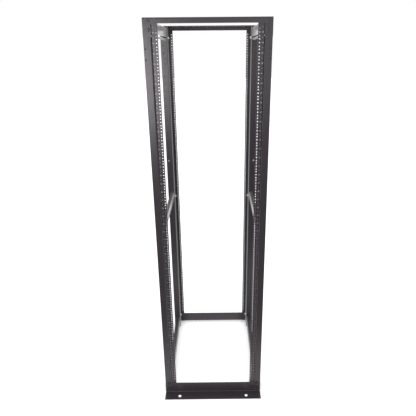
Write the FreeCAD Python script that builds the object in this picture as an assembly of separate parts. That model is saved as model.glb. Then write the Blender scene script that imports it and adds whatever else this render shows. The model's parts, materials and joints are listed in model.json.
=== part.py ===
import FreeCAD, Part
import os
from math import cos, pi, radians, sin, sqrt, tan

# Four-post open frame rack for 19-inch equipment. Four roll-formed posts stand at the
# corners; formed beams join them across the top, foot angles across the floor, and
# three channel braces join front to rear on each side.
# Millimetres. +X right, +Y to the rear, +Z up. The origin is on the floor, in the middle.

# Overall sizes
RAIL_DEPTH = 700.0        # front mounting face to rear mounting face
UNITS = 45                # rack units of height
BASE_MARGIN = 91.75       # floor to the bottom of the lowest unit
TOP_MARGIN = 41.6         # top of the highest unit to the top of the rack

# Equipment mounting pattern
UNIT = 44.45              # one rack unit
HOLE_STEPS = (6.35, 22.225, 38.1)   # hole heights within one unit
HOLE_SPAN = 465.1         # between the left and right hole columns
OPENING_W = 450.0         # clear width between the mounting flanges
HOLE_D = 5.6              # equipment screw hole
HOLE_SIDES = 4            # a plain hole is drawn with few flats, of the round hole's area
FIT_UNITS = (0, UNITS - 1)   # front units, counted from the floor, with round outer holes

# Post section, from the outer web inward
POST_SHEET = 2.0          # post wall
POST_D = 76.0             # mounting face to the back of the back panel
STRIP_W = 33.0            # plain front strip, outer web to return lip
LIP_D = 14.0              # return lip behind the plain strip
SEAM_W = 5.5              # open seam between the return lip and the inner web
FLANGE_W = 26.6           # mounting flange, inner web to its free edge
POST_FLOOR_GAP = 3.0      # post end above the floor

# Accessory holes in the plain strip, in pairs
ACCESSORY_D = 6.0
ACCESSORY_INSET = 7.0     # from the outside of the post
ACCESSORY_PITCH = 46.5    # between the two holes of a pair
ACCESSORY_LOW = 212.0     # middle of the lowest pair, above the floor
ACCESSORY_MIDDLE = 1271.0   # middle of the second pair, above the floor
ACCESSORY_HIGH = 155.6    # middle of the highest pair, below the top of the rack

# Formed sheet of the beams, foot angles and braces
SHEET = 2.7
SHEET_BEND = 3.0          # inside bend radius

# Top beams
BEAM_LEG = 25.4           # face height across the middle
BEAM_FLANGE = 50.8        # top flange, front to back
TAB_H = 83.0              # corner tab, down from the top
TAB_FILLET = 6.0          # inside corner between tab and leg

# Foot angles
FOOT_LEG = 70.0           # upright leg
FOOT_D = 63.5             # foot, from the post face outward
ANCHOR_D = 19.0           # floor anchor hole
ANCHOR_SPAN = 406.4       # between the two anchor holes of a foot
ANCHOR_SETBACK = 25.4     # anchor hole to the foot's front edge

# Side braces
BRACE_FLANGE = 18.0       # flange width, over the web
BRACE_TAB_GAP = 6.0       # tab end to the back of the mounting flange
BRACE_END_GAP = 2.0       # flange end to the post's back panel
END_BRACE_WEB = 76.0      # web height of the top and bottom braces
MID_BRACE_WEB = 54.0      # web height of the middle brace
TOP_BRACE_INSET = 10.6    # upper edge of the top brace, below the top of the rack
MID_BRACE_LOW = 1044.0    # lower edge of the middle brace, above the floor
BOTTOM_BRACE_LOW = 23.4   # lower edge of the bottom brace, above the floor
SLOT_H = 8.0              # bolt slot along the web
SLOT_EDGE = 13.0          # middle of the slot to the nearer edge of the web
SLOT_END = 10.0           # end of the slot to the end of the tab

# Worked out from the sizes above
RACK_H = BASE_MARGIN + UNITS * UNIT + TOP_MARGIN
PANEL_W = STRIP_W + SEAM_W + POST_SHEET   # back panel, outer web to inner web
POST_W = PANEL_W + FLANGE_W
TAB_W = STRIP_W                      # corner tab of a top beam, as far as the seam
RACK_W = OPENING_W + 2 * POST_W
HALF_W = RACK_W / 2
HALF_DEPTH = RAIL_DEPTH / 2
POST_TOP = RACK_H - SHEET - SHEET_BEND   # clear of the bend inside the beam
WEB_FACE = HALF_W - PANEL_W          # inside face of the post's inner web, from the middle
FOOT_EDGE = HALF_DEPTH + FOOT_D      # front edge of a foot, from the middle
THROUGH = 4 * SHEET                  # length of a cutter that passes one sheet
HOLE_AREA_RADIUS = sqrt(2 * pi / (HOLE_SIDES * sin(2 * pi / HOLE_SIDES)))


def vector(x, y, z=0.0):
    return FreeCAD.Vector(x, y, z)


def rounded_run(points, radii):
    """Edges along a polyline whose inner corners are arcs of the given radii, or sharp at 0."""
    edges = []
    start = points[0]
    for before, corner, after, radius in zip(points, points[1:], points[2:], radii):
        if radius == 0:
            edges.append(Part.LineSegment(start, corner).toShape())
            start = corner
            continue
        inward = (before - corner).normalize()
        outward = (after - corner).normalize()
        half_turn = inward.getAngle(outward) / 2
        setback = radius / tan(half_turn)
        first = corner + inward * setback
        last = corner + outward * setback
        bisector = (inward + outward).normalize()
        middle = corner + bisector * (radius / sin(half_turn) - radius)
        edges.append(Part.LineSegment(start, first).toShape())
        edges.append(Part.Arc(first, middle, last).toShape())
        start = last
    edges.append(Part.LineSegment(start, points[-1]).toShape())
    return edges


def folded_section(path, sheet, bend=0):
    """Face of a folded sheet whose middle line follows a path of straight flats.

    bend is the inside radius of every fold, or 0 for folds that are sharp on both sides.
    """
    outer_bend = bend + sheet if bend else 0
    normals = []
    for here, there in zip(path, path[1:]):
        along = (there - here).normalize()
        normals.append(vector(-along.y, along.x))
    sides = []
    for side in (1, -1):
        offset = side * sheet / 2
        points = [path[0] + normals[0] * offset]
        radii = []
        for corner, first, second in zip(path[1:], normals, normals[1:]):
            points.append(corner + (first + second) * (offset / (1 + first.dot(second))))
            on_inside = first.cross(second).z * side > 0
            radii.append(bend if on_inside else outer_bend)
        points.append(path[-1] + normals[-1] * offset)
        sides.append((points, radii))
    left, right = sides
    back_points = right[0][::-1]
    edges = rounded_run(*left)
    edges.append(Part.LineSegment(left[0][-1], back_points[0]).toShape())
    edges += rounded_run(back_points, right[1][::-1])
    edges.append(Part.LineSegment(back_points[-1], left[0][0]).toShape())
    return Part.Face(Part.Wire(edges))


def punched_hole(x, y, z, diameter):
    """Cutter for a plain punched hole through a sheet that faces front or rear."""
    radius = diameter / 2 * HOLE_AREA_RADIUS
    corners = []
    for index in range(HOLE_SIDES + 1):
        angle = pi / 2 + 2 * pi * index / HOLE_SIDES
        corners.append(vector(x + radius * cos(angle), y - THROUGH / 2, z + radius * sin(angle)))
    return Part.Face(Part.makePolygon(corners)).extrude(vector(0, THROUGH, 0))


def bored_hole(x, y, z, diameter):
    """Cutter for a round hole through a sheet that faces front or rear."""
    return Part.makeCylinder(diameter / 2, THROUGH, vector(x, y - THROUGH / 2, z), vector(0, 1, 0))


def box(low, high):
    size = high - low
    return Part.makeBox(size.x, size.y, size.z, low)


def post(side, end):
    """One post. side is -1 left or 1 right, end is -1 front or 1 rear."""
    def place(across, depth):
        return vector(side * (HALF_W - across), end * (HALF_DEPTH - depth))

    half = POST_SHEET / 2
    path = [
        place(STRIP_W - half, LIP_D),
        place(STRIP_W - half, half),
        place(half, half),
        place(half, POST_D - half),
        place(PANEL_W - half, POST_D - half),
        place(PANEL_W - half, half),
        place(POST_W, half),
    ]
    section = folded_section(path, POST_SHEET)
    section.translate(vector(0, 0, POST_FLOOR_GAP))
    shape = section.extrude(vector(0, 0, POST_TOP - POST_FLOOR_GAP))

    face_y = end * (HALF_DEPTH - half)
    cutters = []
    for unit in range(UNITS):
        for step in HOLE_STEPS:
            fits_equipment = end < 0 and unit in FIT_UNITS and step != HOLE_STEPS[1]
            make = bored_hole if fits_equipment else punched_hole
            z = BASE_MARGIN + unit * UNIT + step
            cutters.append(make(side * HOLE_SPAN / 2, face_y, z, HOLE_D))
    for height in (ACCESSORY_LOW, ACCESSORY_MIDDLE, RACK_H - ACCESSORY_HIGH):
        for shift in (-ACCESSORY_PITCH / 2, ACCESSORY_PITCH / 2):
            x = side * (HALF_W - ACCESSORY_INSET)
            cutters.append(punched_hole(x, face_y, height + shift, ACCESSORY_D))
    return shape.cut(cutters)


def top_beam(end):
    """Angle across the top: leg with corner tabs outside the posts, flange over them."""
    half = SHEET / 2
    outside = HALF_DEPTH + SHEET
    section = folded_section(
        [
            vector(end * (outside - half), RACK_H - BEAM_LEG),
            vector(end * (outside - half), RACK_H - half),
            vector(end * (outside - BEAM_FLANGE), RACK_H - half),
        ],
        SHEET,
        SHEET_BEND,
    )
    # The section is drawn as (depth, height) and stood up across the rack.
    section.rotate(vector(0, 0, 0), vector(1, 0, 0), 90)
    section.rotate(vector(0, 0, 0), vector(0, 0, 1), 90)
    section.translate(vector(-HALF_W, 0, 0))
    shape = section.extrude(vector(RACK_W, 0, 0))
    inner_y = end * HALF_DEPTH
    outer_y = end * outside
    for side in (-1, 1):
        outline = [
            vector(side * HALF_W, inner_y, RACK_H - BEAM_LEG),
            vector(side * HALF_W, inner_y, RACK_H - TAB_H),
            vector(side * (HALF_W - TAB_W), inner_y, RACK_H - TAB_H),
            vector(side * (HALF_W - TAB_W), inner_y, RACK_H - BEAM_LEG - TAB_FILLET),
        ]
        centre = vector(side * (HALF_W - TAB_W - TAB_FILLET), inner_y, RACK_H - BEAM_LEG - TAB_FILLET)
        turn = radians(45)
        fillet_mid = centre + vector(side * TAB_FILLET * cos(turn), 0, TAB_FILLET * sin(turn))
        fillet_end = vector(side * (HALF_W - TAB_W - TAB_FILLET), inner_y, RACK_H - BEAM_LEG)
        edges = [Part.LineSegment(a, b).toShape() for a, b in zip(outline, outline[1:])]
        edges.append(Part.Arc(outline[-1], fillet_mid, fillet_end).toShape())
        edges.append(Part.LineSegment(fillet_end, outline[0]).toShape())
        tab = Part.Face(Part.Wire(edges)).extrude(vector(0, outer_y - inner_y, 0))
        shape = shape.fuse(tab)
    return shape.removeSplitter()


def foot_angle(end):
    """Angle across the floor: leg outside the posts, foot outward with anchor holes."""
    half = SHEET / 2
    section = folded_section(
        [
            vector(end * (HALF_DEPTH + half), FOOT_LEG),
            vector(end * (HALF_DEPTH + half), half),
            vector(end * FOOT_EDGE, half),
        ],
        SHEET,
        SHEET_BEND,
    )
    section.rotate(vector(0, 0, 0), vector(1, 0, 0), 90)
    section.rotate(vector(0, 0, 0), vector(0, 0, 1), 90)
    section.translate(vector(-HALF_W, 0, 0))
    shape = section.extrude(vector(RACK_W, 0, 0))
    anchors = []
    for side in (-1, 1):
        spot = vector(side * ANCHOR_SPAN / 2, end * (FOOT_EDGE - ANCHOR_SETBACK), -THROUGH / 2)
        anchors.append(Part.makeCylinder(ANCHOR_D / 2, THROUGH, spot))
    return shape.cut(anchors)


def bolt_slot(x, z, end):
    """Cutter for a long slot through a sheet that faces sideways, from -end to end.

    Each round end is drawn with three flats, as half an octagon.
    """
    radius = SLOT_H / 2
    flat = radius * tan(pi / 8)
    reach = end - radius + flat
    outline = [
        (end, -flat), (end, flat), (reach, radius), (-reach, radius),
        (-end, flat), (-end, -flat), (-reach, -radius), (reach, -radius),
    ]
    corners = [vector(x - THROUGH / 2, y, z + up) for y, up in outline + outline[:1]]
    return Part.Face(Part.makePolygon(corners)).extrude(vector(THROUGH, 0, 0))


def side_brace(side, low_z, web, slot_z):
    """Channel from front post to rear post.

    Its web runs on past the flanges as flat tabs on the posts' inner webs, and a long slot in
    the web takes the bolts.
    """
    half = SHEET / 2
    inside = WEB_FACE - SHEET
    high_z = low_z + web
    section = folded_section(
        [
            vector(side * (inside + BRACE_FLANGE), low_z + half),
            vector(side * (inside + half), low_z + half),
            vector(side * (inside + half), high_z - half),
            vector(side * (inside + BRACE_FLANGE), high_z - half),
        ],
        SHEET,
    )
    # The section is drawn as (across, height) and stood up facing the rear.
    section.rotate(vector(0, 0, 0), vector(1, 0, 0), 90)
    channel_end = HALF_DEPTH - POST_D - BRACE_END_GAP
    tab_end = HALF_DEPTH - POST_SHEET - BRACE_TAB_GAP
    section.translate(vector(0, -channel_end, 0))
    channel = section.extrude(vector(0, 2 * channel_end, 0))
    faces = sorted((side * inside, side * WEB_FACE))
    long_web = box(vector(faces[0], -tab_end, low_z), vector(faces[1], tab_end, high_z))
    slot = bolt_slot(side * inside, slot_z, tab_end - SLOT_END)
    return channel.fuse(long_web).removeSplitter().cut(slot)


def all_parts():
    sides = {"left": -1, "right": 1}
    ends = {"front": -1, "rear": 1}
    top_low = RACK_H - TOP_BRACE_INSET - END_BRACE_WEB
    bottom_high = BOTTOM_BRACE_LOW + END_BRACE_WEB
    # Lower edge, web height and height of the slot
    braces = {
        "top": (top_low, END_BRACE_WEB, top_low + SLOT_EDGE),
        "middle": (MID_BRACE_LOW, MID_BRACE_WEB, MID_BRACE_LOW + SLOT_EDGE),
        "bottom": (BOTTOM_BRACE_LOW, END_BRACE_WEB, bottom_high - SLOT_EDGE),
    }
    parts = {}
    for end_name, end in ends.items():
        for side_name, side in sides.items():
            parts[f"{end_name}_{side_name}_post"] = post(side, end)
        parts[f"{end_name}_top_beam"] = top_beam(end)
        parts[f"{end_name}_foot_angle"] = foot_angle(end)
    for side_name, side in sides.items():
        for level, (low_z, web, slot_z) in braces.items():
            parts[f"{side_name}_{level}_brace"] = side_brace(side, low_z, web, slot_z)
    return parts


os.makedirs("parts", exist_ok=True)
for name, shape in all_parts().items():
    solid = shape.Solids[0]
    print(name, "solids", len(shape.Solids), "valid", shape.isValid(), "volume", round(solid.Volume))
    solid.exportStep(f"parts/{name}.step")
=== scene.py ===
# %% [markdown]
# # Four-post open frame rack
# A rack like this carries 19-inch equipment in an open frame: four folded steel posts, beams over
# the top, angles on the floor and channel braces along the sides. The structure comes as a packed
# model in metres and stays where it is. This lesson gives each piece its folds, punched holes and
# finish, and then adds the bolts and the printed marks.

# %% Load the frame
import json
import math

import bmesh
import bpy
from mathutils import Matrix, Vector

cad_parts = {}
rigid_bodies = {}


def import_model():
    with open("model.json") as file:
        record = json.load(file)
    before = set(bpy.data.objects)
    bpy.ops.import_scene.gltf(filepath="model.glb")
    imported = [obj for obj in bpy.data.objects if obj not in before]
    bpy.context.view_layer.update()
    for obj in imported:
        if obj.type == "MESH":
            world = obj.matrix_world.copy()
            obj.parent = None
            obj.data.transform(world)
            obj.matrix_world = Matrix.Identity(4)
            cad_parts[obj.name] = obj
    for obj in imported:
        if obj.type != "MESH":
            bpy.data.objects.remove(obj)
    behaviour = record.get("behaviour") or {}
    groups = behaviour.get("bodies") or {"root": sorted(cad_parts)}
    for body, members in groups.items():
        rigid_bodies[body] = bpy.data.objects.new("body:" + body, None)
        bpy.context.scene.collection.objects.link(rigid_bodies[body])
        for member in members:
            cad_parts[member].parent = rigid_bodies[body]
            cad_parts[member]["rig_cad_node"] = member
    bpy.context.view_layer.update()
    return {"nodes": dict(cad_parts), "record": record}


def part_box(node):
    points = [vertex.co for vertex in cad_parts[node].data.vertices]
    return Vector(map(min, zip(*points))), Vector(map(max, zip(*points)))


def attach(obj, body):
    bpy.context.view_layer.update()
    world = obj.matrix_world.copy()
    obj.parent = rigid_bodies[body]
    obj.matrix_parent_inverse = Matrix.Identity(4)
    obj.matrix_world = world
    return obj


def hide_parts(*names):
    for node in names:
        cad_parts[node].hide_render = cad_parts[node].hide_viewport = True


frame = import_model()
MM = 0.001
print("nodes", sorted(frame["nodes"]))

# %% [markdown]
# ## Camera
# The photo was taken from about eye height, looking down. Its place could be guessed by eye, but
# the equipment holes have a standard spacing, so it was worked out from their rows and the edges of
# the frame. The picture was cropped a little off centre, which the lens shift repeats.

# %% Camera
PHOTO_PX = 416                    # width and height of the photo
FOCAL_PX = 402.8                  # focal length, in pixels of the photo
CENTRE_PX = (217.1, 197.1)        # where the lens axis meets the photo
EYE = Vector((27.8, -2297.3, 1991.9)) * MM
PITCH = math.radians(-19.96)
ROLL = math.radians(0.44)
YAW = math.radians(0.38)
SENSOR_MM = 36.0

bpy.ops.object.camera_add(location=EYE, rotation=(math.pi / 2 + PITCH, ROLL, -YAW))
camera = bpy.context.object
camera.data.sensor_width = SENSOR_MM
camera.data.lens = SENSOR_MM * FOCAL_PX / PHOTO_PX
camera.data.shift_x = 0.5 - CENTRE_PX[0] / PHOTO_PX
camera.data.shift_y = CENTRE_PX[1] / PHOTO_PX - 0.5
bpy.context.scene.camera = camera
bpy.context.scene.view_settings.view_transform = "Standard"
print("lens", round(camera.data.lens, 2), "mm")

# %% [markdown]
# ## Sizes
# Everything that touches the structure takes its place from the frame: the boxes of its nodes, and
# the record, which states where the lowest and the highest rack unit are bolted on.

# %% Sizes from the frame
mounts = {mount["name"]: mount for mount in frame["record"]["mounts"]}
lowest, highest = mounts["lowest_front_unit"], mounts["highest_front_unit"]
UNIT = 44.45 * MM
HOLE_SPAN = lowest["dims"]["spacing_x_mm"] * MM
HOLE_RISE = lowest["dims"]["spacing_y_mm"] * MM / 2
HOLE_D = 2 * lowest["dims"]["hole_r_mm"] * MM
LOWEST_MIDDLE = lowest["pos_m"][2]
UNITS = round((highest["pos_m"][2] - LOWEST_MIDDLE) / UNIT) + 1
print("rack units", UNITS, "hole columns", round(HOLE_SPAN / MM, 1), "mm apart")

# %% [markdown]
# ## Helpers for editing
# An operator acts on all that is selected, so each edit starts from one piece with nothing selected
# in it. Vertices are then chosen by their place, as a hand would box-select them.

# %% Helpers for editing
TINY = 0.01 * MM          # tolerance when points are chosen by their place
FOLD_ANGLE = 40           # degrees, up to which folds and round walls are shaded smooth
FLAT_WEIGHT = 100         # how much a large flat rules the shading at its rim


def start_edit(piece):
    """Selects one piece alone and enters edit mode with nothing selected in it."""
    bpy.ops.object.select_all(action="DESELECT")
    piece.select_set(True)
    bpy.context.view_layer.objects.active = piece
    bpy.ops.object.mode_set(mode="EDIT")
    bpy.ops.mesh.select_all(action="DESELECT")


def select_points(piece, test):
    """Selects the vertices whose place passes the test, with the edges and faces between them."""
    bpy.ops.mesh.select_all(action="DESELECT")
    mesh = bmesh.from_edit_mesh(piece.data)
    for vertex in mesh.verts:
        vertex.select = test(vertex.co)
    mesh.select_flush(True)
    bmesh.update_edit_mesh(piece.data)


def apply_modifier(piece, kind, **settings):
    """Adds a modifier to a piece, sets it up and applies it."""
    bpy.context.view_layer.objects.active = piece
    modifier = piece.modifiers.new(kind.lower(), kind)
    for key, value in settings.items():
        setattr(modifier, key, value)
    bpy.ops.object.modifier_apply(modifier=modifier.name)


def copy_piece(piece, name, scale=(1, 1, 1), turn=(0, 0, 0), place=(0, 0, 0)):
    """Copies a piece with its own mesh, then mirrors, turns and moves the copy."""
    bpy.ops.object.select_all(action="DESELECT")
    piece.select_set(True)
    bpy.context.view_layer.objects.active = piece
    bpy.ops.object.duplicate()
    copy = bpy.context.object
    copy.name = name
    copy.scale = scale
    copy.rotation_euler = turn
    copy.location = place
    bpy.ops.object.transform_apply(location=True, rotation=True, scale=True)
    if min(scale) < 0:
        start_edit(copy)
        bpy.ops.mesh.select_all(action="SELECT")
        bpy.ops.mesh.normals_make_consistent(inside=False)
        bpy.ops.object.mode_set(mode="OBJECT")
    return copy


def smooth(piece, degrees=FOLD_ANGLE):
    """Smooth shading over folds and round holes, with flats kept flat and edges kept sharp."""
    bpy.ops.object.select_all(action="DESELECT")
    piece.select_set(True)
    bpy.context.view_layer.objects.active = piece
    bpy.ops.object.shade_smooth_by_angle(angle=math.radians(degrees))
    apply_modifier(piece, "WEIGHTED_NORMAL", mode="FACE_AREA", weight=FLAT_WEIGHT, keep_sharp=True)


# %% [markdown]
# ## Folding a sheet
# The posts and braces are flat steel that a machine folded along its length. A box model would have
# knife edges, so the section is drawn as a line through the middle of the sheet, its corners are
# rounded with a vertex bevel, and the line is drawn out along the piece. Solidify gives it its wall.

# %% Folding a sheet
FOLD_STEPS = 4


def fold_sheet(name, section, radii, along):
    """Middle surface of a folded sheet: a line with rounded corners, drawn out along a direction."""
    points = [Vector(point) for point in section]
    bpy.ops.object.select_all(action="DESELECT")
    bpy.ops.mesh.primitive_plane_add(size=MM)
    piece = bpy.context.object
    piece.name = name
    start_edit(piece)
    bpy.ops.mesh.select_all(action="SELECT")
    bpy.ops.mesh.merge(type="CENTER")
    bpy.ops.transform.translate(value=points[0])
    for here, there in zip(points, points[1:]):
        bpy.ops.mesh.extrude_vertices_move(TRANSFORM_OT_translate={"value": there - here})
    for corner, radius in zip(points[1:-1], radii):
        select_points(piece, lambda place: (place - corner).length < TINY)
        bpy.ops.mesh.bevel(offset=radius, segments=FOLD_STEPS, affect="VERTICES")
    bpy.ops.mesh.select_all(action="SELECT")
    bpy.ops.mesh.extrude_region_move(TRANSFORM_OT_translate={"value": Vector(along)})
    bpy.ops.mesh.select_all(action="SELECT")
    bpy.ops.mesh.normals_make_consistent(inside=False)
    bpy.ops.object.mode_set(mode="OBJECT")
    return piece


# %% [markdown]
# ## One rack unit of a post
# Each post is one strip of sheet: a return lip, the plain front strip, the outer web, the back
# panel, the inner web and the mounting flange, with an open seam beside the inner web. The pattern
# of holes repeats with every rack unit, so one unit of the front left post is folded first.

# %% One rack unit of a post
POST_SHEET = 2.0 * MM
POST_FOLD = 2.2 * MM      # fold radius in the middle of the sheet
LIP_FOLD = 1.2 * MM       # the same at the return lip
STRIP_W = 34.5 * MM       # plain front strip, outer web to return lip
LIP_D = 14.0 * MM         # return lip behind the plain strip
PANEL_W = 40.5 * MM       # back panel, outer web to inner web

post_low, post_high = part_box("front_left_post")
wall = POST_SHEET / 2
strip_end = post_low.x + STRIP_W - wall
inner_web = post_low.x + PANEL_W - wall
unit_low = LOWEST_MIDDLE - UNIT / 2
post = fold_sheet(
    "post_front_left",
    [
        (strip_end, post_low.y + LIP_D, unit_low),
        (strip_end, post_low.y + wall, unit_low),
        (post_low.x + wall, post_low.y + wall, unit_low),
        (post_low.x + wall, post_high.y - wall, unit_low),
        (inner_web, post_high.y - wall, unit_low),
        (inner_web, post_low.y + wall, unit_low),
        (post_high.x, post_low.y + wall, unit_low),
    ],
    [LIP_FOLD, POST_FOLD, POST_FOLD, POST_FOLD, POST_FOLD],
    (0, 0, UNIT),
)
apply_modifier(post, "SOLIDIFY", thickness=POST_SHEET, offset=0, use_even_offset=True)
print("one unit of a post", len(post.data.vertices), "vertices")

# %% [markdown]
# ## Punched holes
# In each unit the flange has three holes for equipment. A hole is punched with a cylinder and a
# Boolean. On the whole post this would leave one huge face full of holes, which shades badly, so it
# is done on the short piece, before that is repeated.

# %% Punched holes
PUNCH_SIDES = 14
PUNCH_DEPTH = 5 * POST_SHEET


def punch(piece, diameter, x, y, z):
    """Punches a round hole in a sheet that faces the front."""
    bpy.ops.object.select_all(action="DESELECT")
    bpy.ops.mesh.primitive_cylinder_add(vertices=PUNCH_SIDES, radius=diameter / 2, depth=PUNCH_DEPTH,
                                        location=(x, y, z), rotation=(math.pi / 2, 0, 0))
    tool = bpy.context.object
    bpy.ops.object.transform_apply(location=True, rotation=True, scale=True)
    apply_modifier(piece, "BOOLEAN", object=tool, operation="DIFFERENCE", solver="EXACT")
    bpy.data.objects.remove(tool)


for rise in (-HOLE_RISE, 0, HOLE_RISE):
    punch(post, HOLE_D, -HOLE_SPAN / 2, post_low.y + wall, LOWEST_MIDDLE + rise)
print("punched unit", len(post.data.polygons), "faces")

# %% [markdown]
# ## A whole post
# The end faces of the unit are deleted, so that an Array modifier can repeat it and merge the ends.
# The open ends are then drawn out to the bottom and the top of the post, and closed.

# %% A whole post
def draw_end(piece, end_z, reach_z):
    """Draws the open end of a post out to a height and closes it."""
    select_points(piece, lambda place: abs(place.z - end_z) < TINY)
    bpy.ops.mesh.extrude_region_move(TRANSFORM_OT_translate={"value": (0, 0, reach_z - end_z)})
    bpy.ops.mesh.edge_face_add()


start_edit(post)
for end_z in (unit_low, unit_low + UNIT):
    select_points(post, lambda place: abs(place.z - end_z) < TINY)
    bpy.ops.mesh.delete(type="FACE")
bpy.ops.object.mode_set(mode="OBJECT")
apply_modifier(post, "ARRAY", count=UNITS, use_relative_offset=False, use_constant_offset=True,
               constant_offset_displace=(0, 0, UNIT), use_merge_vertices=True, merge_threshold=TINY)
start_edit(post)
draw_end(post, unit_low, post_low.z)
draw_end(post, unit_low + UNITS * UNIT, post_high.z)
bpy.ops.mesh.select_all(action="SELECT")
bpy.ops.mesh.normals_make_consistent(inside=False)
bpy.ops.object.mode_set(mode="OBJECT")
print("whole post", len(post.data.polygons), "faces")

# %% [markdown]
# ## Accessory holes
# The back panel has one hole in each rack unit, and in three units a pair instead, set further in.
# Three pairs of holes go through the plain strip. They differ from unit to unit, so they are punched
# in the whole post, where the units' edges still part its faces.

# %% Accessory holes
PANEL_HOLE_D = 6.5 * MM
PANEL_INSET = 15.0 * MM           # from the outside of the post
PAIR_INSET = 20.5 * MM
PAIR_UNITS = (2, 26, 41)          # units with a pair, counted from 0
ACCESSORY_D = 6.0 * MM
ACCESSORY_INSET = 7.0 * MM        # from the outside of the post
ACCESSORY_PITCH = 46.5 * MM
ACCESSORY_HEIGHTS = (212.0 * MM, 1271.0 * MM, 1978.0 * MM)   # middle of each pair

panel_y = post_high.y - wall      # middle of the back panel
for unit in range(UNITS):
    middle = LOWEST_MIDDLE + unit * UNIT
    if unit in PAIR_UNITS:
        for rise in (-HOLE_RISE, HOLE_RISE):
            punch(post, PANEL_HOLE_D, post_low.x + PAIR_INSET, panel_y, middle + rise)
    else:
        punch(post, PANEL_HOLE_D, post_low.x + PANEL_INSET, panel_y, middle)
for height in ACCESSORY_HEIGHTS:
    for rise in (-ACCESSORY_PITCH / 2, ACCESSORY_PITCH / 2):
        punch(post, ACCESSORY_D, post_low.x + ACCESSORY_INSET, post_low.y + wall, height + rise)
print("post with accessory holes", len(post.data.polygons), "faces")

# %% [markdown]
# ## Where the braces sit
# A side has three braces, one above the other. Their places come from the frame, but the lower edge
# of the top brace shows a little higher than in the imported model, so it is drawn higher here. Each
# brace has a long slot for its bolts, near one edge of its web.

# %% Where the braces sit
LEVELS = ("top", "middle", "bottom")
TOP_BRACE_RAISE = 6.0 * MM        # lower edge of the top braces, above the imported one
SLOT_EDGE = 13.0 * MM             # middle of a slot to the nearer edge of the web


def brace_box(level):
    """Box of a brace of the left side, with the top brace's lower edge raised."""
    low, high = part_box(f"left_{level}_brace")
    rise = TOP_BRACE_RAISE if level == "top" else 0.0
    return low + Vector((0, 0, rise)), high


def slot_height(level):
    """Height of a brace's slot. It is near the upper edge of the bottom brace, else near the lower one."""
    low, high = brace_box(level)
    return high.z - SLOT_EDGE if level == "bottom" else low.z + SLOT_EDGE


print("slots at", {level: round(slot_height(level) / MM, 1) for level in LEVELS}, "mm")

# %% [markdown]
# ## Openings for the braces
# Each end of a brace passes through a slit in the post's back panel and lies behind the inner web. A
# wider opening beside the slit leaves room for the bolt. Both are cut with a box and a Boolean.

# %% Openings for the braces
SLIT_W = 4.4 * MM                 # slit for a brace, from the inner web outwards
SLIT_MARGIN = 5.0 * MM            # edge of the brace to the end of its slit
SLIT_BITE = 0.2 * MM              # how far it is cut into the inner web, to free the fold
OPENING_W = 22.0 * MM             # opening for the bolt, from the middle of the slit outwards
OPENING_H = 18.0 * MM
web_back = inner_web - wall       # far side of the inner web, seen from the bay


def cut_opening(piece, inner_x, width, low_z, high_z):
    """Cuts an opening in the back panel of the front left post, from inner_x outwards."""
    bpy.ops.object.select_all(action="DESELECT")
    middle = (inner_x - width / 2, panel_y, (low_z + high_z) / 2)
    bpy.ops.mesh.primitive_cube_add(size=1, location=middle)
    tool = bpy.context.object
    tool.scale = (width, PUNCH_DEPTH, high_z - low_z)
    bpy.ops.object.transform_apply(location=True, rotation=True, scale=True)
    apply_modifier(piece, "BOOLEAN", object=tool, operation="DIFFERENCE", solver="EXACT")
    bpy.data.objects.remove(tool)


for level in LEVELS:
    brace_low, brace_high = brace_box(level)
    slit_low, slit_high = brace_low.z + SLIT_MARGIN, brace_high.z - SLIT_MARGIN
    cut_opening(post, web_back + SLIT_BITE, SLIT_W, slit_low, slit_high)
    slot_z = slot_height(level)
    cut_opening(post, web_back - SLIT_W / 2, OPENING_W, slot_z - OPENING_H / 2, slot_z + OPENING_H / 2)
print("post with openings", len(post.data.polygons), "faces")

# %% [markdown]
# ## Four posts
# The posts of a rack are all alike, so the finished one is mirrored to the other three corners. Each
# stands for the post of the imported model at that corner.

# %% Four posts
MIRRORED = {"front_right": (-1, 1, 1), "rear_left": (1, -1, 1), "rear_right": (-1, -1, 1)}

posts = {"front_left": post}
for name, scale in MIRRORED.items():
    posts[name] = copy_piece(post, f"post_{name}", scale)
for name, piece in posts.items():
    smooth(piece)
    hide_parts(f"{name}_post")
print("posts", {name: len(piece.data.polygons) for name, piece in posts.items()}, "faces")

# %% [markdown]
# ## Braces
# A brace is a shallow channel that opens outwards. Its web runs on past the flanges as a flat tab
# at each end, which lies behind the post's inner web, and a long slot takes the bolts at any depth.
# It is folded like a post. Then the web's end edges are drawn out into tabs, before it gets its wall.
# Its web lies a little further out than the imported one, whose tabs are on the near side. The flanges
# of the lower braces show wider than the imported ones, so they are drawn wider here.

# %% Braces
BRACE_SHEET = 2.7 * MM
BRACE_FOLD = 4.35 * MM        # fold radius in the middle of the sheet
BRACE_END_GAP = 2.0 * MM      # flange end to the post's back panel
SLOT_H = 8.0 * MM
SLOT_END = 10.0 * MM          # end of the slot to the end of the tab
SLOT_DEPTH = 4 * BRACE_SHEET
SLOT_SIDES = 24
WIDER = {"top": 0.0, "middle": 8.0 * MM, "bottom": 12.0 * MM}   # flange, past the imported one
channel_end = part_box("rear_left_post")[0].y - BRACE_END_GAP


def draw_out_tab(piece, end, web_x, reach):
    """Draws a tab out of the web's end edge. end is -1 at the front and 1 at the rear."""
    def on_web_end(place):
        """Whether a point lies on the edge that becomes the tab."""
        return abs(place.x - web_x) < TINY and abs(place.y - end * channel_end) < TINY

    select_points(piece, on_web_end)
    bpy.ops.mesh.extrude_region_move(TRANSFORM_OT_translate={"value": (0, end * reach, 0)})


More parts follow.
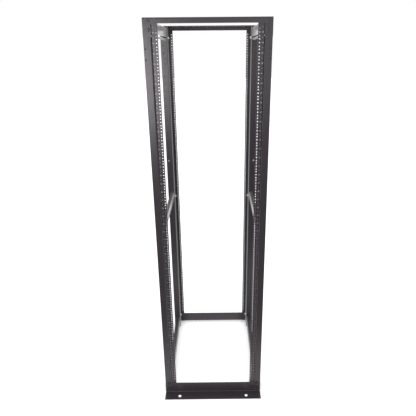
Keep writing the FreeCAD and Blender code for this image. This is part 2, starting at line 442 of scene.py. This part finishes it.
def cut_slot(piece, x, z, end):
    """Cuts a round-ended slot from -end to end through a web that faces sideways."""
    bpy.ops.object.select_all(action="DESELECT")
    bpy.ops.mesh.primitive_cylinder_add(vertices=SLOT_SIDES, radius=SLOT_H / 2, depth=SLOT_DEPTH,
                                        location=(x, 0, z), rotation=(0, math.pi / 2, 0))
    tool = bpy.context.object
    bpy.ops.object.transform_apply(location=True, rotation=True, scale=True)
    start_edit(tool)
    for way in (-1, 1):
        select_points(tool, lambda place: way * place.y > TINY)
        bpy.ops.transform.translate(value=(0, way * (end - SLOT_H / 2), 0))
    bpy.ops.object.mode_set(mode="OBJECT")
    apply_modifier(piece, "BOOLEAN", object=tool, operation="DIFFERENCE", solver="EXACT")
    bpy.data.objects.remove(tool)


def left_brace(level):
    """One brace of the left side, folded at the place of its frame node."""
    low, high = brace_box(level)
    half = BRACE_SHEET / 2
    web_x = web_back - half
    edge_x = low.x - WIDER[level]
    piece = fold_sheet(
        f"brace_left_{level}",
        [
            (edge_x, -channel_end, low.z + half),
            (web_x, -channel_end, low.z + half),
            (web_x, -channel_end, high.z - half),
            (edge_x, -channel_end, high.z - half),
        ],
        [BRACE_FOLD, BRACE_FOLD],
        (0, 2 * channel_end, 0),
    )
    start_edit(piece)
    for end in (-1, 1):
        draw_out_tab(piece, end, web_x, high.y - channel_end)
    bpy.ops.mesh.select_all(action="SELECT")
    bpy.ops.mesh.normals_make_consistent(inside=False)
    bpy.ops.object.mode_set(mode="OBJECT")
    apply_modifier(piece, "SOLIDIFY", thickness=BRACE_SHEET, offset=0, use_even_offset=True)
    cut_slot(piece, web_x, slot_height(level), high.y - SLOT_END)
    return piece


braces = {}
for level in LEVELS:
    left = left_brace(level)
    braces[f"left_{level}"] = left
    braces[f"right_{level}"] = copy_piece(left, f"brace_right_{level}", (-1, 1, 1))
for name, piece in braces.items():
    smooth(piece)
    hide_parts(f"{name}_brace")
print("braces", sorted(braces))

# %% [markdown]
# ## Beams and foot angles
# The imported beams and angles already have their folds, tabs and anchor holes. A sheared sheet still
# has a slightly rounded edge under its coat, which catches the light, so each one is copied, its
# triangles are merged into whole faces, and its sharp edges get a small bevel. The inner edges of a
# beam's tabs are moved in a little first, so that the tabs cover the upper end of the posts' seams.

# %% Beams and foot angles
EDGE_ROUND = 0.5 * MM
EDGE_STEPS = 2
SAME_FACE = math.radians(0.5)     # angle up to which triangles are merged into one face
TAB_SHIFT = 4.5 * MM              # inner edge of a tab, towards the middle
TAB_W = 33.0 * MM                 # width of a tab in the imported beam
TAB_FILLET = 6.0 * MM             # round inside corner between tab and beam


def rounded_copy(node):
    """Copy of a frame node with a small bevel on its sharp edges. It stands for the node."""
    copy = copy_piece(frame["nodes"][node], f"{node}_sheet")
    del copy["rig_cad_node"]
    start_edit(copy)
    bpy.ops.mesh.select_all(action="SELECT")
    bpy.ops.mesh.remove_doubles(threshold=TINY)
    bpy.ops.mesh.dissolve_limited(angle_limit=SAME_FACE)
    if node.endswith("top_beam"):
        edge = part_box(node)[1].x - TAB_W
        for side in (-1, 1):
            select_points(copy, lambda place: edge - TAB_FILLET - TINY < side * place.x < edge + TINY)
            bpy.ops.transform.translate(value=(-side * TAB_SHIFT, 0, 0))
    bpy.ops.mesh.select_all(action="DESELECT")
    bpy.ops.mesh.edges_select_sharp(sharpness=math.radians(FOLD_ANGLE))
    bpy.ops.mesh.bevel(offset=EDGE_ROUND, segments=EDGE_STEPS, affect="EDGES", clamp_overlap=True)
    bpy.ops.object.mode_set(mode="OBJECT")
    smooth(copy)
    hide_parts(node)
    return copy


sheets = []
for end in ("front", "rear"):
    for kind in ("top_beam", "foot_angle"):
        sheets.append(rounded_copy(f"{end}_{kind}"))
print("beams and angles", [piece.name for piece in sheets])

# %% [markdown]
# ## Bolts
# Two coated bolts hold each corner of a beam or a foot angle, and a bright zinc-plated bolt with a
# nut holds each end of a brace. A head or nut is a six-sided cylinder whose top face is inset and
# raised, which gives the chamfer that a real one has. The washer and the bolt's end are discs with a
# bevelled rim.

# %% Bolt heads and nuts
DISC_SIDES = 28
RIM_SHARE = 1 / 3         # bevel of a disc's rim, as a share of its height
RIM_STEPS = 2
HEX_CHAMFER = 0.12        # inset of the top face, as a share of the width over flats
END_OVERLAP = 1.0 * MM    # how far a bolt's end starts inside its nut
ROUND_ANGLE = 30          # degrees, up to which a bolt's round sides are shaded smooth


def disc(diameter, bottom, height):
    """Disc with a bevelled upper rim, standing at a height."""
    bpy.ops.object.select_all(action="DESELECT")
    bpy.ops.mesh.primitive_cylinder_add(vertices=DISC_SIDES, radius=diameter / 2, depth=height,
                                        location=(0, 0, bottom + height / 2))
    piece = bpy.context.object
    bpy.ops.object.transform_apply(location=True, rotation=True, scale=True)
    start_edit(piece)
    select_points(piece, lambda place: abs(place.z - bottom - height) < TINY)
    bpy.ops.mesh.bevel(offset=height * RIM_SHARE, segments=RIM_STEPS, affect="EDGES")
    bpy.ops.object.mode_set(mode="OBJECT")
    return piece


def hexagon(flats, bottom, height):
    """Six-sided head or nut with a chamfered top, standing at a height."""
    chamfer = HEX_CHAMFER * flats / 2
    straight = height - chamfer
    bpy.ops.object.select_all(action="DESELECT")
    bpy.ops.mesh.primitive_cylinder_add(vertices=6, radius=flats / math.sqrt(3), depth=straight,
                                        location=(0, 0, bottom + straight / 2))
    piece = bpy.context.object
    bpy.ops.object.transform_apply(location=True, rotation=True, scale=True)
    start_edit(piece)
    select_points(piece, lambda place: abs(place.z - bottom - straight) < TINY)
    bpy.ops.mesh.inset(thickness=HEX_CHAMFER * flats, depth=chamfer)
    bpy.ops.object.mode_set(mode="OBJECT")
    return piece


def join_pieces(name, pieces):
    """Joins pieces into one, with smooth round sides."""
    bpy.ops.object.select_all(action="DESELECT")
    for piece in pieces:
        piece.select_set(True)
    bpy.context.view_layer.objects.active = pieces[0]
    bpy.ops.object.join()
    joined = bpy.context.object
    joined.name = name
    smooth(joined, ROUND_ANGLE)
    return joined


HEAD_FLATS, HEAD_H = 13.0 * MM, 6.5 * MM
HEAD_WASHER_D, HEAD_WASHER_H = 18.0 * MM, 1.8 * MM
NUT_FLATS, NUT_H = 13.0 * MM, 6.5 * MM
NUT_WASHER_D, NUT_WASHER_H = 16.0 * MM, 1.4 * MM
BOLT_D, BOLT_END = 6.4 * MM, 1.4 * MM
coated = join_pieces("bolt_coated", [
    disc(HEAD_WASHER_D, 0, HEAD_WASHER_H),
    hexagon(HEAD_FLATS, HEAD_WASHER_H, HEAD_H),
])
nut_top = NUT_WASHER_H + NUT_H
zinc = join_pieces("bolt_zinc", [
    disc(NUT_WASHER_D, 0, NUT_WASHER_H),
    hexagon(NUT_FLATS, NUT_WASHER_H, NUT_H),
    disc(BOLT_D, nut_top - END_OVERLAP, END_OVERLAP + BOLT_END),
])
print("bolts", len(coated.data.polygons), len(zinc.data.polygons), "faces")

# %% [markdown]
# ## Corner bolts
# At each corner two bolts go through a beam's tab or a foot angle into the post. The coated bolt lies
# on its back, so each copy is turned to face the front or the rear, and moved to its place.

# %% Corner bolts
ENDS = {"front": -1, "rear": 1}
SIDES = {"left": -1, "right": 1}
CORNER_INSET = 25.0 * MM                   # from the outside of the rack
BEAM_BOLTS = (18.5 * MM, 52.0 * MM)        # below the top of the rack
FOOT_BOLTS = (57.0 * MM, 25.0 * MM)        # above the floor
beam_low, beam_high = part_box("front_top_beam")
coated_bolts = []
for end_name, end in ENDS.items():
    for side_name, side in SIDES.items():
        heights = [beam_high.z - drop for drop in BEAM_BOLTS] + list(FOOT_BOLTS)
        for index, z in enumerate(heights):
            spot = (side * (beam_high.x - CORNER_INSET), end * -beam_low.y, z)
            coated_bolts.append(copy_piece(coated, f"bolt_{end_name}_{side_name}_{index}",
                                           turn=(-end * math.pi / 2, 0, 0), place=spot))
bpy.data.objects.remove(coated)
print("corner bolts", len(coated_bolts))

# %% [markdown]
# ## Brace bolts
# One bolt holds each end of a brace. Its nut sits on the side of the bay, on the post's inner web, at
# the height of the slot.

# %% Brace bolts
TAB_BOLT = 30.0 * MM          # bolt to the end of the tab
brace_high = brace_box("top")[1]
zinc_bolts = []
for level in LEVELS:
    for end_name, end in ENDS.items():
        for side_name, side in SIDES.items():
            spot = (-side * (inner_web + wall), end * (brace_high.y - TAB_BOLT), slot_height(level))
            zinc_bolts.append(copy_piece(zinc, f"bolt_{side_name}_{level}_{end_name}",
                                         turn=(0, -side * math.pi / 2, 0), place=spot))
bpy.data.objects.remove(zinc)
print("brace bolts", len(zinc_bolts))

# %% [markdown]
# ## Printed marks
# A light grey number is printed beside the middle hole of each rack unit, and a short line marks
# where two units meet. Numbers are text made into a flat mesh, and the lines are one thin plane
# repeated by an Array modifier. The marks lie a hair above the coat, on all four mounting faces.

# %% Printed marks
NUMBER_H = 6.5 * MM
DIGIT_SHARE = 0.7             # height of a digit, as a share of the font's size
DIGIT_STEPS = 2               # steps in each curve of a digit
MARK_X = 247.0 * MM           # middle of the numbers, from the middle of the rack
LINE_SIZE = (7.0 * MM, 0.9 * MM)
INK = 0.06 * MM               # ink above the coat


def unit_numbers():
    """Flat numbers 1 to UNITS, one above the other, facing the front."""
    numbers = []
    for unit in range(UNITS):
        bpy.ops.object.select_all(action="DESELECT")
        bpy.ops.object.text_add()
        text = bpy.context.object
        text.data.body = str(unit + 1)
        text.data.size = NUMBER_H / DIGIT_SHARE
        text.data.align_x = "CENTER"
        text.data.align_y = "CENTER"
        text.data.resolution_u = DIGIT_STEPS
        bpy.ops.object.convert(target="MESH")
        text = bpy.context.object
        text.rotation_euler = (math.pi / 2, 0, 0)
        text.location = (0, 0, LOWEST_MIDDLE + unit * UNIT)
        bpy.ops.object.transform_apply(location=True, rotation=True, scale=True)
        numbers.append(text)
    return numbers


def unit_lines():
    """Short lines between the units, facing the front."""
    bpy.ops.object.select_all(action="DESELECT")
    bpy.ops.mesh.primitive_plane_add(size=1, location=(0, 0, LOWEST_MIDDLE - UNIT / 2),
                                     rotation=(math.pi / 2, 0, 0))
    line = bpy.context.object
    line.scale = (*LINE_SIZE, 1)
    bpy.ops.object.transform_apply(location=True, rotation=True, scale=True)
    apply_modifier(line, "ARRAY", count=UNITS + 1, use_relative_offset=False,
                   use_constant_offset=True, constant_offset_displace=(0, 0, UNIT))
    return line


column = unit_numbers()
lines = unit_lines()
bpy.ops.object.select_all(action="DESELECT")
for piece in (*column, lines):
    piece.select_set(True)
bpy.context.view_layer.objects.active = lines
bpy.ops.object.join()
marks_master = bpy.context.object
marks = []
for end_name, end in ENDS.items():
    for side_name, side in SIDES.items():
        turn = 0 if end < 0 else math.pi
        marks.append(copy_piece(marks_master, f"unit_marks_{end_name}_{side_name}",
                                turn=(0, 0, turn), place=(side * MARK_X, end * (-post_low.y + INK), 0)))
bpy.data.objects.remove(marks_master)
print("marks", [len(piece.data.polygons) for piece in marks], "faces")

# %% [markdown]
# ## Colours and nodes
# Colours are written as sRGB hex values, as a colour picker shows them, and one function turns them
# into the linear values that a shader needs. Another adds a node with its settings and links.

# %% Colours and nodes
def hex_to_linear(code):
    """sRGB hex such as '#2b2a2c' as linear red, green, blue, alpha."""
    channels = []
    for start in (1, 3, 5):
        value = int(code[start:start + 2], 16) / 255
        channels.append(value / 12.92 if value <= 0.04045 else ((value + 0.055) / 1.055) ** 2.4)
    return (*channels, 1.0)


def add_node(owner, kind, settings=None, links=None):
    """Adds a node to a material or world, sets its properties and inputs, and links its inputs."""
    node = owner.node_tree.nodes.new(kind)
    for key, value in (settings or {}).items():
        if isinstance(key, int) or key in node.inputs:
            node.inputs[key].default_value = value
        else:
            setattr(node, key, value)
    for key, output in (links or {}).items():
        owner.node_tree.links.new(output, node.inputs[key])
    return node


def new_material(name):
    """Material with an empty node tree."""
    material = bpy.data.materials.new(name)
    material.use_nodes = True
    material.node_tree.nodes.clear()
    return material


# %% [markdown]
# ## Powder coat
# The frame is sprayed with black powder that melts into a semi-gloss skin. The eye sees a soft,
# slightly blurred reflection that waves like orange peel, and a grey that shifts a little from
# place to place. A flat colour would look like plastic film, so noise drives the bump, the
# roughness and the colour. Seen along its surface the coat turns glossier and paler, so Layer Weight
# lowers the roughness there, and a sheen adds a pale haze.

# %% Powder coat
PEEL_MM = 7.0                     # real waves are about 2 mm, drawn coarser so that they show
CLOUD_MM = 90.0                   # slow change of the coat's thickness
COAT_ROUGH = (0.26, 0.34)         # roughness, from thin to thick coat
SKIM_FROM = (0.5, 0.85)           # Facing, from a slanting view to one along the surface
SKIM_ROUGH = (1.0, 0.4)           # share of the roughness that is left there
PEEL_STRENGTH = 0.12
PEEL_DEPTH = 0.15 * MM
COAT_DARK = hex_to_linear("#332e33")
COAT_PALE = hex_to_linear("#393438")
COAT_SHINE = {
    "IOR": 1.58,
    "Specular Tint": (1.0, 0.96, 1.0, 1.0),
    "Sheen Weight": 0.75,
    "Sheen Roughness": 0.3,
}

powder = new_material("powder_coat_black")
place = add_node(powder, "ShaderNodeTexCoord")
peel = add_node(powder, "ShaderNodeTexNoise", {"Scale": 1 / (PEEL_MM * MM), "Detail": 2.0},
                {"Vector": place.outputs["Object"]})
cloud = add_node(powder, "ShaderNodeTexNoise", {"Scale": 1 / (CLOUD_MM * MM), "Detail": 3.0},
                 {"Vector": place.outputs["Object"]})
tint = add_node(powder, "ShaderNodeMix", {"data_type": "RGBA", 6: COAT_DARK, 7: COAT_PALE},
                {0: cloud.outputs["Fac"]})
gloss = add_node(powder, "ShaderNodeMapRange", {"To Min": COAT_ROUGH[0], "To Max": COAT_ROUGH[1]},
                 {"Value": cloud.outputs["Fac"]})
angle = add_node(powder, "ShaderNodeLayerWeight", {"Blend": 0.5})
skim = add_node(powder, "ShaderNodeMapRange", {
    "From Min": SKIM_FROM[0],
    "From Max": SKIM_FROM[1],
    "To Min": SKIM_ROUGH[0],
    "To Max": SKIM_ROUGH[1],
}, {"Value": angle.outputs["Facing"]})
blurred = add_node(powder, "ShaderNodeMath", {"operation": "MULTIPLY"},
                   {0: gloss.outputs["Result"], 1: skim.outputs["Result"]})
waves = add_node(powder, "ShaderNodeBump", {"Strength": PEEL_STRENGTH, "Distance": PEEL_DEPTH},
                 {"Height": peel.outputs["Fac"]})
coat = add_node(powder, "ShaderNodeBsdfPrincipled", COAT_SHINE, {
    "Base Color": tint.outputs[2],
    "Roughness": blurred.outputs[0],
    "Normal": waves.outputs["Normal"],
})
add_node(powder, "ShaderNodeOutputMaterial", links={"Surface": coat.outputs["BSDF"]})
print(powder.name, len(powder.node_tree.nodes), "nodes")

# %% [markdown]
# ## Zinc plate
# The brace bolts and nuts are steel with a bright zinc plating. The eye sees a pale, slightly blurred
# metal with fine cloudy patches from the bath. The clear film over the zinc scatters most of the
# light, so it is only partly metallic.

# %% Zinc plate
PATCH_MM = 4.0                    # cloudy patches
ZINC_METALLIC = 0.25
ZINC_ROUGH = (0.3, 0.5)           # roughness, from one kind of patch to the other
ZINC_DARK = hex_to_linear("#e6e6e4")
ZINC_PALE = hex_to_linear("#f2f1ee")

plate = new_material("zinc_plate")
place = add_node(plate, "ShaderNodeTexCoord")
patch = add_node(plate, "ShaderNodeTexNoise", {"Scale": 1 / (PATCH_MM * MM), "Detail": 3.0},
                 {"Vector": place.outputs["Object"]})
pale = add_node(plate, "ShaderNodeMix", {"data_type": "RGBA", 6: ZINC_DARK, 7: ZINC_PALE},
                {0: patch.outputs["Fac"]})
blur = add_node(plate, "ShaderNodeMapRange", {"To Min": ZINC_ROUGH[0], "To Max": ZINC_ROUGH[1]},
                {"Value": patch.outputs["Fac"]})
metal = add_node(plate, "ShaderNodeBsdfPrincipled", {"Metallic": ZINC_METALLIC},
                 {"Base Color": pale.outputs[2], "Roughness": blur.outputs["Result"]})
add_node(plate, "ShaderNodeOutputMaterial", links={"Surface": metal.outputs["BSDF"]})
print(plate.name, len(plate.node_tree.nodes), "nodes")

# %% [markdown]
# ## Printing ink
# Screen-printed ink dries matt and not quite even, so its light grey is broken up a little.

# %% Printing ink
GRAIN_MM = 1.5                    # grain of the dried ink
INK_ROUGH = 0.7
INK_DARK = hex_to_linear("#b4b2b2")
INK_PALE = hex_to_linear("#d0cecd")

ink = new_material("screen_print_grey")
place = add_node(ink, "ShaderNodeTexCoord")
grain = add_node(ink, "ShaderNodeTexNoise", {"Scale": 1 / (GRAIN_MM * MM), "Detail": 2.0},
                 {"Vector": place.outputs["Object"]})
grey = add_node(ink, "ShaderNodeMix", {"data_type": "RGBA", 6: INK_DARK, 7: INK_PALE},
                {0: grain.outputs["Fac"]})
print_coat = add_node(ink, "ShaderNodeBsdfPrincipled", {"Roughness": INK_ROUGH},
                      {"Base Color": grey.outputs[2]})
add_node(ink, "ShaderNodeOutputMaterial", links={"Surface": print_coat.outputs["BSDF"]})
print(ink.name, len(ink.node_tree.nodes), "nodes")

# %% [markdown]
# ## Finish on each piece
# Every piece gets its material and the body that carries it.

# %% Finish on each piece
finishes = [
    ([*posts.values(), *braces.values(), *sheets, *coated_bolts], powder, "powder_coat"),
    (zinc_bolts, plate, "zinc_plate"),
    (marks, ink, "printed_mark"),
]
for pieces, material, slot in finishes:
    for piece in pieces:
        piece.data.materials.clear()
        piece.data.materials.append(material)
        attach(piece, "root")
    print(slot, len(pieces), "pieces")

# %% [markdown]
# ## Studio floor
# The rack stands on a seamless white floor. The camera sees it as white, with painted shade in the
# corners: its added glow is dimmed there, such as inside the posts. Reflections in the coat see it glow
# close to the rack and fade towards the front, where a studio is dark; beside the braces that glow is
# dimmed as painted shade.

# %% Studio floor
FLOOR_SIZE = 60.0       # in metres
FLOOR_PAINT = (0.8, 0.8, 0.8, 1.0)
FLOOR_LIFT = 0.72       # added for the camera, so that the lit floor reads as white
# The corner shade is painted: an occlusion test dims the floor's added glow.
CORNER_REACH = 0.05     # how far a corner's shade reaches, in metres
GLOW_NEAR = -0.6        # where the mirrored glow starts to fade, in metres
GLOW_FAR = -1.0         # where it is gone
GLOW_LEAST = 0.08
# Painted shade: beside the braces the mirrored glow is dimmed, where the braces' shadow would lie.
SHADED_Y = (-0.35, -0.2)   # beside the braces the floor is shaded, from front to rear
SHADED_X = (0.25, 0.19)    # and from the side to the middle, where it is bright again
SHADED_GLOW = 0.5

bpy.ops.object.select_all(action="DESELECT")
bpy.ops.mesh.primitive_plane_add(size=FLOOR_SIZE)
floor = bpy.context.object
floor.name = "floor"

white = new_material("studio_white")
ray = add_node(white, "ShaderNodeLightPath")
spot = add_node(white, "ShaderNodeTexCoord")
axes = add_node(white, "ShaderNodeSeparateXYZ", links={0: spot.outputs["Object"]})
fade = add_node(white, "ShaderNodeMapRange", {
    "interpolation_type": "SMOOTHSTEP",
    "From Min": GLOW_FAR,
    "From Max": GLOW_NEAR,
    "To Min": GLOW_LEAST,
    "To Max": 1.0,
}, {"Value": axes.outputs["Y"]})
# Painted shade: the mirrored glow is dimmed beside the braces.
shaded = add_node(white, "ShaderNodeMapRange", {
    "interpolation_type": "SMOOTHSTEP",
    "From Min": SHADED_Y[0],
    "From Max": SHADED_Y[1],
    "To Min": 1.0,
    "To Max": SHADED_GLOW,
}, {"Value": axes.outputs["Y"]})
aside = add_node(white, "ShaderNodeMath", {"operation": "ABSOLUTE"}, {0: axes.outputs["X"]})
open_floor = add_node(white, "ShaderNodeMapRange", {
    "From Min": SHADED_X[0],
    "From Max": SHADED_X[1],
    "To Min": 0.0,
    "To Max": 1.0,
}, {"Value": aside.outputs[0]})
lit = add_node(white, "ShaderNodeMath", {"operation": "MAXIMUM"},
               {0: shaded.outputs["Result"], 1: open_floor.outputs["Result"]})
glow = add_node(white, "ShaderNodeMath", {"operation": "MINIMUM"},
                {0: fade.outputs["Result"], 1: lit.outputs[0]})
# Painted shade: ambient occlusion dims the glow that the camera sees, in corners and inside the posts.
corner = add_node(white, "ShaderNodeAmbientOcclusion", {
    "Distance": CORNER_REACH,
    "Color": (FLOOR_LIFT, FLOOR_LIFT, FLOOR_LIFT, 1.0),
})
paint = add_node(white, "ShaderNodeBsdfDiffuse", {"Color": FLOOR_PAINT})
lift = add_node(white, "ShaderNodeEmission", links={"Color": corner.outputs["Color"]})
seen = add_node(white, "ShaderNodeAddShader", links={0: paint.outputs[0], 1: lift.outputs[0]})
mirrored = add_node(white, "ShaderNodeEmission", links={"Strength": glow.outputs[0]})
for_camera = add_node(white, "ShaderNodeMixShader", links={
    0: ray.outputs["Is Camera Ray"],
    1: paint.outputs[0],
    2: seen.outputs[0],
})
for_gloss = add_node(white, "ShaderNodeMixShader", links={
    0: ray.outputs["Is Glossy Ray"],
    1: for_camera.outputs[0],
    2: mirrored.outputs[0],
})
add_node(white, "ShaderNodeOutputMaterial", links={"Surface": for_gloss.outputs[0]})
floor.data.materials.append(white)
print(white.name, len(white.node_tree.nodes), "nodes")

# %% [markdown]
# ## White surround
# The background is white, so the camera and the reflections see white behind, beside and above the
# rack. Towards the front the room is dim. The light that falls on the rack from all around is kept at
# a plain level, stronger from above than from the sides.

# %% White surround
LIGHT_LOW, LIGHT_HIGH = 0.45, 1.0       # at the horizon and overhead
FRONT_LOW, FRONT_HIGH = 0.0, 0.3        # rise of a mirrored ray, from a dim to a pale front
FRONT_DIM, FRONT_PALE = 0.1, 0.35       # reflected light there, low down and higher up
SIDE_DIM, SIDE_WHITE = -0.92, -0.55     # ray to the rear, negative to the front, from dim to white

world = bpy.data.worlds.new("studio")
bpy.context.scene.world = world
world.use_nodes = True
world.node_tree.nodes.clear()
sky_ray = add_node(world, "ShaderNodeLightPath")
sky_place = add_node(world, "ShaderNodeTexCoord")
sky_axes = add_node(world, "ShaderNodeSeparateXYZ", links={0: sky_place.outputs["Generated"]})
sky_above = add_node(world, "ShaderNodeMapRange", {"To Min": LIGHT_LOW, "To Max": LIGHT_HIGH},
                     {"Value": sky_axes.outputs["Z"]})
sky_rise = add_node(world, "ShaderNodeMapRange", {
    "interpolation_type": "SMOOTHSTEP",
    "From Min": FRONT_LOW,
    "From Max": FRONT_HIGH,
    "To Min": FRONT_DIM,
    "To Max": FRONT_PALE,
}, {"Value": sky_axes.outputs["Z"]})
sky_side = add_node(world, "ShaderNodeMapRange", {
    "interpolation_type": "SMOOTHSTEP",
    "From Min": SIDE_DIM,
    "From Max": SIDE_WHITE,
    "To Min": 0.0,
    "To Max": 1.0,
}, {"Value": sky_axes.outputs["Y"]})
sky_level = add_node(world, "ShaderNodeMath", {"operation": "MAXIMUM"},
                     {0: sky_rise.outputs["Result"], 1: sky_side.outputs["Result"]})
sky_light = add_node(world, "ShaderNodeBackground", {"Color": (1, 1, 1, 1)},
                     {"Strength": sky_above.outputs["Result"]})
sky_white = add_node(world, "ShaderNodeBackground", {"Color": (1, 1, 1, 1), "Strength": 1.0})
sky_gloss = add_node(world, "ShaderNodeBackground", {"Color": (1, 1, 1, 1)},
                     {"Strength": sky_level.outputs[0]})
sky_camera = add_node(world, "ShaderNodeMixShader", links={
    0: sky_ray.outputs["Is Camera Ray"],
    1: sky_light.outputs[0],
    2: sky_white.outputs[0],
})
sky_all = add_node(world, "ShaderNodeMixShader", links={
    0: sky_ray.outputs["Is Glossy Ray"],
    1: sky_camera.outputs[0],
    2: sky_gloss.outputs[0],
})
add_node(world, "ShaderNodeOutputWorld", links={"Surface": sky_all.outputs[0]})
print(world.name, len(world.node_tree.nodes), "nodes")

# %% [markdown]
# ## Soft boxes
# Two soft boxes stand in front of the rack. The reflection of the left one is the pale sheen on the
# upper part of the left posts, and the weaker right one lights the right posts and the top beam.

# %% Soft boxes
BOX_Y = -3.35                     # in metres, as all places and sizes here
LEFT_X, LEFT_Z = -1.05, 1.7
LEFT_SIZE, LEFT_WATTS = (1.0, 1.2), 29.0
RIGHT_X, RIGHT_Z = 0.75, 2.2
RIGHT_SIZE, RIGHT_WATTS = (1.2, 1.8), 8.0


def soft_box(name, x, z, size, watts):
    """Rectangular lamp in front of the rack, facing straight to the rear."""
    bpy.ops.object.light_add(type="AREA", location=(x, BOX_Y, z), rotation=(math.pi / 2, 0, 0))
    lamp = bpy.context.object
    lamp.name = name
    lamp.data.shape = "RECTANGLE"
    lamp.data.size, lamp.data.size_y = size
    lamp.data.energy = watts
    print(name, watts, "W")


soft_box("left_box", LEFT_X, LEFT_Z, LEFT_SIZE, LEFT_WATTS)
soft_box("right_box", RIGHT_X, RIGHT_Z, RIGHT_SIZE, RIGHT_WATTS)
